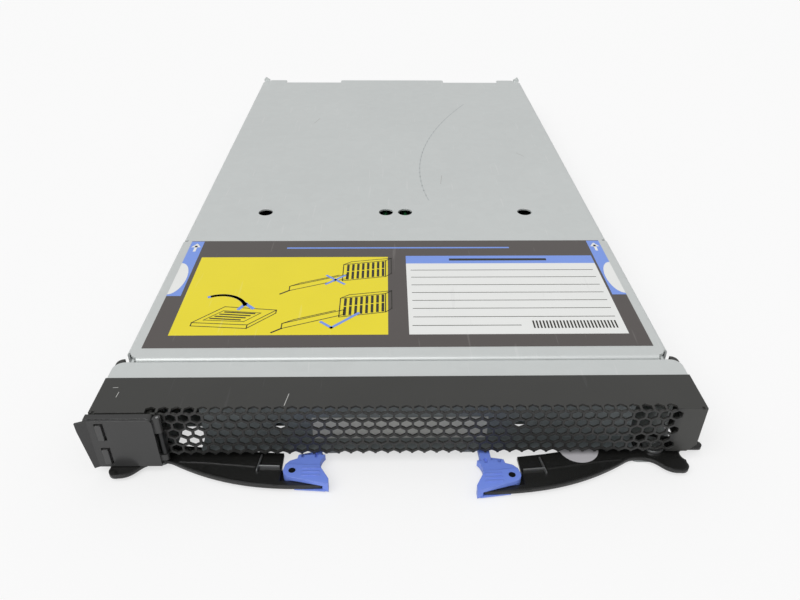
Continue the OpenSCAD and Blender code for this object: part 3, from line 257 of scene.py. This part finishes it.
def finish(name, hex_colour, roughness, metallic=0.0, specular=0.5, group=None, size=1500.0, spread=0.12, bump=0.05,
           edge=0.0, worn_lit_colour=None, edge_round=0.0003, scratch=0.0, scratch_colour=None, coat=0.0):
    """A material: a base colour that varies by a shared group, with grain, scratches, and edges painted paler, partly
    as wear and partly as a painted highlight.
    """
    colour = from_hex(hex_colour)
    scratch_tone = from_hex(scratch_colour) if scratch_colour else tint(colour, 1.7)
    worn_lit_tone = from_hex(worn_lit_colour) if worn_lit_colour else tint(colour, 2.2)
    material = bpy.data.materials.new(name)
    material.use_nodes = True
    tree = material.node_tree
    shader = tree.nodes["Principled BSDF"]
    place = node_in(tree, "ShaderNodeTexCoord").outputs["Object"]
    group = group or moulded_grain
    size_socket = "Scale" if group is moulded_grain else "Crystal"
    pattern = node_in(tree, "ShaderNodeGroup", {"Vector": place, size_socket: size}, node_tree=group)
    top = blend(tree, pattern.outputs["Tone"], tint(colour, 1 - spread), tint(colour, 1 + spread))
    if scratch:
        lines = node_in(tree, "ShaderNodeGroup", {"Vector": place, "Amount": scratch}, node_tree=fine_scratches)
        top = blend(tree, lines.outputs["Mask"], top, scratch_tone)
    rounded = None
    if edge_round:
        rounded = node_in(tree, "ShaderNodeBevel", {"Radius": edge_round}, samples=4)
    # edges painted paler: partly wear, partly a painted highlight where the rounding would catch the light
    if edge and rounded:
        geometry = node_in(tree, "ShaderNodeNewGeometry")
        worn_lit_node = node_in(tree, "ShaderNodeGroup", {
            "Rounded": rounded.outputs[0], "Face": geometry.outputs["True Normal"], "Vector": place,
            "Amount": edge}, node_tree=worn_lit_edges)
        top = blend(tree, worn_lit_node.outputs["Mask"], top, worn_lit_tone)
    tree.links.new(top, shader.inputs["Base Color"])
    shader.inputs["Roughness"].default_value = roughness
    shader.inputs["Metallic"].default_value = metallic
    shader.inputs["Specular IOR Level"].default_value = specular
    shader.inputs["Coat Weight"].default_value = coat
    relief = node_in(tree, "ShaderNodeBump", {
        "Strength": bump, "Distance": relief_depth, "Height": pattern.outputs["Height"]})
    if rounded:
        tree.links.new(rounded.outputs[0], relief.inputs["Normal"])
    tree.links.new(relief.outputs[0], shader.inputs["Normal"])
    return material


def dress(material, *names):
    """Gives CAD nodes their material."""
    for name in names:
        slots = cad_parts[name].data.materials
        slots.clear()
        slots.append(material)


# ---------------------------------------------------------------------------
# Base tray, its rivets and pins
# Folded from zinc-plated sheet; the rivets and pins are plain steel, and the
# release pads are pressed from the same sheet as the tray.
# ---------------------------------------------------------------------------
tray_zinc = finish("tray_zinc", "9fa3a3", 0.42, 0.55, group=zinc_spangle, size=180.0, spread=0.10, bump=0.12,
                   edge=0.3, scratch=0.3)
dress(tray_zinc, "base_tray", "cover_release_left", "cover_release_right")
plain_steel = finish("plain_steel", "b4b5b6", 0.32, 0.9, size=900.0, spread=0.08, bump=0.1, edge=0.2)
dress(plain_steel, "lever_pivots", "cover_pins", "board_screws", "heat_sink_screws", "door_pin",
      "latch_spring_left", "latch_spring_right")

# ---------------------------------------------------------------------------
# System board and what is soldered to it
# Green laminate, cream sockets, black packages, bright cans and lids, and
# white latches at the ends of the memory sockets.
# ---------------------------------------------------------------------------
board_mask = finish("board_mask", "1d5a38", 0.38, size=700.0, spread=0.25, bump=0.1, coat=0.3)
dress(board_mask, "system_board", "control_card")
memory_mask = finish("memory_mask", "24703f", 0.4, size=700.0, spread=0.2, bump=0.1, coat=0.2)
dress(memory_mask, "memory_modules")
turned_brass = finish("turned_brass", "c9a24a", 0.3, 1.0, size=1200.0, spread=0.08)
dress(turned_brass, "board_standoffs")
socket_cream = finish("socket_cream", "d8d0b8", 0.5, size=1200.0, spread=0.06, bump=0.1, edge=0.2)
dress(socket_cream, "processor_sockets", "expansion_connector")
lid_nickel = finish("lid_nickel", "b9b8b4", 0.25, 1.0, spread=0.05)
dress(lid_nickel, "processors", "battery")
fin_metal = finish("fin_metal", "c6c8ca", 0.35, 0.85, group=zinc_spangle, size=400.0, spread=0.05, bump=0.08)
dress(fin_metal, "heat_sink_left", "heat_sink_right")
connector_black = finish("connector_black", "26272a", 0.45, size=1600.0, spread=0.15, bump=0.15, edge=0.25)
dress(connector_black, "memory_sockets", "drive_connectors", "rear_connector_left", "rear_connector_right",
      "battery_holder")
latch_white = finish("latch_white", "e9e8e3", 0.45, spread=0.03, bump=0.1)
dress(latch_white, *[f"memory_latch_{i}_{end}" for i in (1, 2, 3, 4) for end in ("front", "rear")])
ferrite_grey = finish("ferrite_grey", "3a3b40", 0.6, size=900.0, spread=0.2, bump=0.2, edge=0.3)
dress(ferrite_grey, "power_inductors")
can_metal = finish("can_metal", "bfc2c6", 0.3, 0.9, spread=0.05)
dress(can_metal, "capacitors")
package_black = finish("package_black", "232426", 0.55, size=2000.0, spread=0.15, bump=0.15)
dress(package_black, "logic_chips")

# ---------------------------------------------------------------------------
# Drives
# Coated trays and cast drive cases. The blue release levers share the plastic
# of the latches further down.
# ---------------------------------------------------------------------------
coated_grey = finish("coated_grey", "8f9294", 0.5, 0.3, size=900.0, spread=0.08, bump=0.1, edge=0.2)
dress(coated_grey, "drive_tray_left", "drive_tray_right")
cast_case = finish("cast_case", "a7a9ab", 0.38, 0.7, size=500.0, spread=0.08, bump=0.15, edge=0.2)
dress(cast_case, "hard_drive_left", "hard_drive_right")

# ---------------------------------------------------------------------------
# Front bezel and the sheets behind it
# The bezel is black moulded plastic; the carrier and the cover are pale
# zinc-plated sheet; the shield behind the grille is dark, with a pale plate.
# ---------------------------------------------------------------------------
bezel_black = finish("bezel_black", "3b3b39", 0.36, specular=0.45, size=2200.0, spread=0.08, bump=0.18, edge=0.2,
                     worn_lit_colour="77777a", scratch=0.1, scratch_colour="6a6a6c")
dress(bezel_black, "front_bezel", "panel_housing")
# painted shade: the wires between the hexagons on the front face are coloured darker, for the lesser light on a face
# turned to the front;
# the painted shade sets in between the two ends of the grille and fades behind the front face
wire_left_x, wire_right_x = -0.0986, 0.1135
wire_fade = 0.002
wire_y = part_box("front_bezel")[0][1] + 0.0019
wire_full, wire_none = 0.0006, 0.0018
bezel_tree = bezel_black.node_tree
bezel_colour = bezel_tree.nodes["Principled BSDF"].inputs["Base Color"]
bezel_place = node_in(bezel_tree, "ShaderNodeSeparateXYZ", {
    0: node_in(bezel_tree, "ShaderNodeTexCoord").outputs["Object"]})
wire_deep = ramp(bezel_tree, bezel_place.outputs["Y"], wire_y + wire_none, wire_y + wire_full)
wire_left = ramp(bezel_tree, bezel_place.outputs["X"], wire_left_x, wire_left_x + wire_fade)
wire_right = ramp(bezel_tree, bezel_place.outputs["X"], wire_right_x, wire_right_x - wire_fade)
wire_across = maths(bezel_tree, "MULTIPLY", wire_left, wire_right)
wire_painted_shade_mask = maths(bezel_tree, "MULTIPLY", wire_across, wire_deep)
wire_painted_shade_tone = blend(bezel_tree, wire_painted_shade_mask, bezel_colour.links[0].from_socket, from_hex("1d1e1f"))
bezel_tree.links.new(wire_painted_shade_tone, bezel_colour)
cover_zinc = finish("cover_zinc", "dadedd", 0.40, 0.35, group=zinc_spangle, size=200.0, spread=0.045, bump=0.08,
                    edge=0.35, worn_lit_colour="ececec", scratch=0.22, scratch_colour="f0f0f0")
dress(cover_zinc, "bezel_carrier", "cover")
shield_dark = finish("shield_dark", "7c8284", 0.45, 0.3, size=900.0, spread=0.1, bump=0.1)
dress(shield_dark, "inner_shield")
plate_pale = finish("plate_pale", "c9c9c6", 0.5, size=900.0, spread=0.04)
dress(plate_pale, "shield_label")

# ---------------------------------------------------------------------------
# Control panel
# A moulded door with a flared lip, two tall buttons, the power button and
# clear light guides.
# ---------------------------------------------------------------------------
door_black = finish("door_black", "383838", 0.24, size=2200.0, spread=0.08, bump=0.15, edge=0.4,
                    worn_lit_colour="8a8a8a")
dress(door_black, "panel_door")
button_grey = finish("button_grey", "4a4a4a", 0.4, size=2200.0, spread=0.06, bump=0.12, edge=0.4,
                     worn_lit_colour="909090")
dress(button_grey, "upper_select_button", "lower_select_button")
button_pale = finish("button_pale", "dededb", 0.4, size=2000.0, spread=0.03, bump=0.08)
dress(button_pale, "power_button")
guide_clear = bpy.data.materials.new("guide_clear")
guide_clear.use_nodes = True
clear = guide_clear.node_tree.nodes["Principled BSDF"]
clear.inputs["Base Color"].default_value = (0.9, 0.96, 0.9, 1)
clear.inputs["Roughness"].default_value = 0.12
clear.inputs["Transmission Weight"].default_value = 0.8
dress(guide_clear, "light_pipes")

# ---------------------------------------------------------------------------
# Ejector levers and their latches
# Black glass-filled nylon levers; sky-blue latches on dark pins.
# ---------------------------------------------------------------------------
lever_black = finish("lever_black", "1e1e1d", 0.26, size=1800.0, spread=0.12, bump=0.12, edge=0.15,
                     worn_lit_colour="4a4a4e", edge_round=0.0012)
dress(lever_black, "ejector_lever_left", "ejector_lever_right")
latch_blue = finish("latch_blue", "7893ee", 0.34, size=1600.0, spread=0.05, bump=0.1, edge=0.3,
                    worn_lit_colour="a9bdf5", edge_round=0.0004)
dress(latch_blue, "latch_left", "latch_right", "drive_lever_left", "drive_lever_right")
dark_pin = finish("dark_pin", "202226", 0.3, 0.6, spread=0.1)
dress(dark_pin, "latch_pin_left", "latch_pin_right")

# ---------------------------------------------------------------------------
# Cover label
# A dark printed film with a yellow field, a white form with ruled lines, and
# blue corner strips. Every field is a thin flat print on the film.
# ---------------------------------------------------------------------------
label_film = finish("label_film", "575250", 0.42, size=1200.0, spread=0.04, bump=0.04, edge_round=0.0,
                    scratch=0.3, scratch_colour="8a8683")
dress(label_film, "cover_label")
film_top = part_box("cover_label")[1][2]
# heights above the film in millimetres: fields, the lines on them, and the hints over the lines
field_lift, line_lift, hint_lift = 0.02, 0.04, 0.06


def level_quads(name, quads, height, material, body):
    """Flat shapes at one height in metres: each quad is four (x, y) corners in millimetres."""
    quads = np.asarray(quads, float).reshape(-1, 4, 2)
    points = np.zeros((len(quads), 4, 3))
    points[:, :, 0] = quads[:, :, 0] / 1000
    points[:, :, 1] = (quads[:, :, 1] - middle_y) / 1000
    points[:, :, 2] = height
    # corners are put in order round each quad, so that every face looks up
    side_a = points[:, 1, :2] - points[:, 0, :2]
    side_b = points[:, 2, :2] - points[:, 0, :2]
    turned = (side_a[:, 0] * side_b[:, 1] - side_a[:, 1] * side_b[:, 0]) < 0
    points[turned] = points[turned][:, ::-1]
    piece = mesh_piece(name, points, np.arange(len(quads) * 4).reshape(-1, 4).tolist())
    piece.data.materials.append(material)
    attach(piece, body)


def print_quads(name, quads, lift, material):
    """Flat prints on the cover's label, lifted above the film by a few hundredths of a millimetre."""
    level_quads(name, quads, film_top + lift / 1000, material, "cover")


def box_quad(x0, x1, y0, y1):
    """The four corners of an upright rectangle."""
    return [[x0, y0], [x1, y0], [x1, y1], [x0, y1]]


def ribbon(points, width):
    """A line of even width along points: one quad for each stretch, set off half a width to each side."""
    points = np.asarray(points, float)
    step = points[1:] - points[:-1]
    length = np.hypot(step[:, 0], step[:, 1])[:, None]
    side = np.stack([-step[:, 1], step[:, 0]], 1) / length * width / 2
    grow = step / length * width / 2
    a = points[:-1] - grow
    b = points[1:] + grow
    return np.stack([a - side, b - side, b + side, a + side], 1)


def ink(name, hex_colour, roughness, spread, **wear):
    """A printing ink: an even colour whose edges aren't rounded."""
    return finish(name, hex_colour, roughness, size=1200.0, spread=spread, bump=0.03, edge_round=0.0, **wear)


yellow_ink = ink("yellow_ink", "f3e22b", 0.4, 0.03, scratch=0.12, scratch_colour="fff9c0")
white_ink = ink("white_ink", "f1f2f0", 0.4, 0.02, scratch=0.1, scratch_colour="c8c8c8")
blue_ink = ink("blue_ink", "7f9fee", 0.4, 0.03)
black_ink = ink("black_ink", "2b2a22", 0.45, 0.05)

print_quads("yellow_field", [box_quad(-104.3, -4.8, 50, 120)], field_lift, yellow_ink)
print_quads("white_form", [box_quad(4.8, 105.3, 50, 113)], field_lift, white_ink)
form_header = box_quad(4.8, 105.3, 113, 121)
title_bar = box_quad(-60, 62, 129.2, 130.6)
side_strips = [box_quad(s * 106.5, s * 113.5, 82.5, 137.5) for s in (-1, 1)]
print_quads("blue_fields", [form_header, title_bar] + side_strips, field_lift, blue_ink)
rules = [ribbon([[7.3, y], [102.4, y]], 0.45) for y in (106.2, 99.2, 91.9, 84.8, 77.8, 70.9, 63.8)]
rules.append(ribbon([[6.7, 56.9], [56.9, 56.9]], 0.45))
header_bar = ribbon([[29, 117], [79, 117]], 2.2)
even_bars = np.array([[box_quad(62.6 + 1.6 * i, 63.4 + 1.6 * i, 54.5, 60.5)] for i in range(25)]).reshape(-1, 4, 2)
print_quads("form_lines", np.concatenate(rules + [header_bar, even_bars]), line_lift, black_ink)

# white marks on the blue strips: a half round at the outer edge and an arrow that points to the rear
marks = []
for s, half_turn in ((-1, (-90, 90)), (1, (90, 270))):
    turn = np.radians(np.linspace(*half_turn, 24))
    rim = np.stack([s * 113.5 + 6.0 * np.cos(turn), 99 + 15.0 * np.sin(turn)], 1)
    centre = np.tile([[s * 113.5, 99.0]], (len(rim) - 1, 1))
    marks.append(np.stack([centre, rim[:-1], rim[1:], rim[1:]], 1))
    marks.append(ribbon([[s * 110, 127], [s * 110, 132]], 1.4))
    marks.append(np.array([[[s * 107.4, 131], [s * 112.6, 131], [s * 110.2, 135], [s * 109.8, 135]]], float))
print_quads("white_marks", np.concatenate(marks), line_lift, white_ink)

# line drawings on the yellow field: a rack frame with a flat box before it, twice, and an open box with its lid
strokes = []


def drawn(points, ox, oy, width=0.5):
    """Adds a line of even width through the points, moved by an offset."""
    strokes.append(ribbon(np.asarray(points, float) + [ox, oy], width))


for ox, oy in ((-48, 88), (-48, 56)):
    # rack frame with its slots
    drawn([[20, 8], [42, 12], [42, 28], [20, 24], [20, 8]], ox, oy)
    drawn([[20, 24], [24, 27], [45, 30.5], [42, 28]], ox, oy)
    drawn([[45, 30.5], [45, 15], [42, 12]], ox, oy)
    for slot_x in np.arange(22.5, 41, 2.6):
        slot_low = 8.4 + (slot_x - 20) * 0.18
        drawn([[slot_x, slot_low + 1], [slot_x, slot_low + 7]], ox, oy, 1.3)
        drawn([[slot_x, slot_low + 9], [slot_x, slot_low + 14.4]], ox, oy, 1.3)
    # flat box that slides towards it
    drawn([[-6, -1], [22, 10], [22, 14], [-6, 3], [-6, -1]], ox, oy)
    drawn([[-6, 3], [-1, 6], [18, 13.4]], ox, oy)
    drawn([[-10, -4], [-6, -1]], ox, oy, 0.9)
# open box with its rows
box_x, box_y = -96, 60
drawn([[0, 0], [26, -2], [38, 10], [13, 13], [0, 0]], box_x, box_y)
drawn([[0, 0], [0, -2.6], [26, -4.8], [26, -2]], box_x, box_y)
drawn([[26, -4.8], [38, 7.4], [38, 10]], box_x, box_y)
drawn([[5, 2], [24, 0.6], [31, 7.6], [13, 9.6], [5, 2]], box_x, box_y, 0.4)
for row in range(4):
    drawn([[8 + 2 * row, 3.4 + 1.7 * row], [22 + 2 * row, 2.0 + 1.7 * row]], box_x, box_y, 0.9)
print_quads("field_drawings", np.concatenate(strokes), line_lift, black_ink)


def arc_line(cx, cy, r, a0, a1, n):
    """Points on an arc: the centre plus the radius times the cosine and sine of each angle."""
    a = np.radians(np.linspace(a0, a1, n))
    return np.stack([cx + r * np.cos(a), cy + r * np.sin(a)], 1)


# blue hints over the drawings: a swinging arrow, a cross and a tick
hints = [ribbon(points, width) for points, width in (
    (arc_line(-86, 70, 13, 20, 118, 16), 1.8),
    ([[-76, 71], [-73.5, 75.6]], 1.8),
    ([[-73.6, 75.4], [-69.6, 71.6]], 1.8),
    ([[-36, 93], [-27, 101]], 1.3),
    ([[-36, 101], [-27, 93]], 1.3),
    ([[-36, 60], [-31, 55.5], [-19, 67]], 1.5))]
print_quads("field_hints", np.concatenate(hints), hint_lift, blue_ink)

# ---------------------------------------------------------------------------
# Marks of use
# A pale round paper dot on the right lever, a long curved scratch and a few
# short ones in the zinc of the cover, and nicks in the black of the bezel.
# ---------------------------------------------------------------------------
# metres: the dot's height above the latch spring's foot, and a mark's height above its face
dot_lift = 0.00025
mark_lift = 0.00003
dot_paper = finish("dot_paper", "c4c2c6", 0.6, size=900.0, spread=0.05, bump=0.08, edge_round=0.0)
dot_rim = arc_line(75.0, 4.2, 8.4, 0, 360, 49)[:-1]
dot_height = np.full(len(dot_rim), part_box("latch_spring_right")[0][2] + dot_lift)
dot = mesh_piece("lever_dot", np.stack([dot_rim[:, 0] / 1000, (dot_rim[:, 1] - middle_y) / 1000, dot_height], 1),
                 [list(range(len(dot_rim)))])
dot.data.materials.append(dot_paper)
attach(dot, "lever_right")


def curve_points(ends, n):
    """Points on a cubic Bezier curve: its four control points weighted by the cubic Bernstein polynomials."""
    t = np.linspace(0, 1, n)[:, None]
    a, b, c, d = np.asarray(ends, float)
    return (1 - t) ** 3 * a + 3 * (1 - t) ** 2 * t * b + 3 * (1 - t) * t ** 2 * c + t ** 3 * d


def joined_ribbons(lines):
    """The quads of several straight marks, each given as its points and its width."""
    return np.concatenate([ribbon(points, width) for points, width in lines])


scratch_zinc = finish("scratch_zinc", "c6cbcb", 0.5, 0.2, size=900.0, spread=0.06, edge_round=0.0)
bright_nick = finish("bright_nick", "b9b9b6", 0.4, size=900.0, spread=0.06, edge_round=0.0)
cover_mark_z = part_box("cover_label")[0][2] + mark_lift
bezel_mark_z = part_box("front_bezel")[1][2] + mark_lift
long_scratch = curve_points([[59.9, 376.3], [29.1, 320.3], [8.1, 254.8], [20.8, 190.5]], 28)
level_quads("cover_scratch", ribbon(long_scratch, 0.7), cover_mark_z, scratch_zinc, "cover")
cover_nicks = joined_ribbons([([[-62, 330], [-58.5, 341]], 0.4), ([[88, 268], [92, 262]], 0.4),
                              ([[30, 215], [31.5, 228]], 0.35)])
level_quads("cover_nicks", cover_nicks, cover_mark_z, bright_nick, "cover")
bezel_nicks = joined_ribbons([([[-45.2, 10.3], [-46.3, 3.4]], 0.3), ([[-117.4, 14.8], [-115.5, 14.9]], 0.3),
                              ([[-114.2, 12], [-114.4, 9.1]], 0.3)])
level_quads("bezel_nicks", bezel_nicks, bezel_mark_z, bright_nick, "chassis")
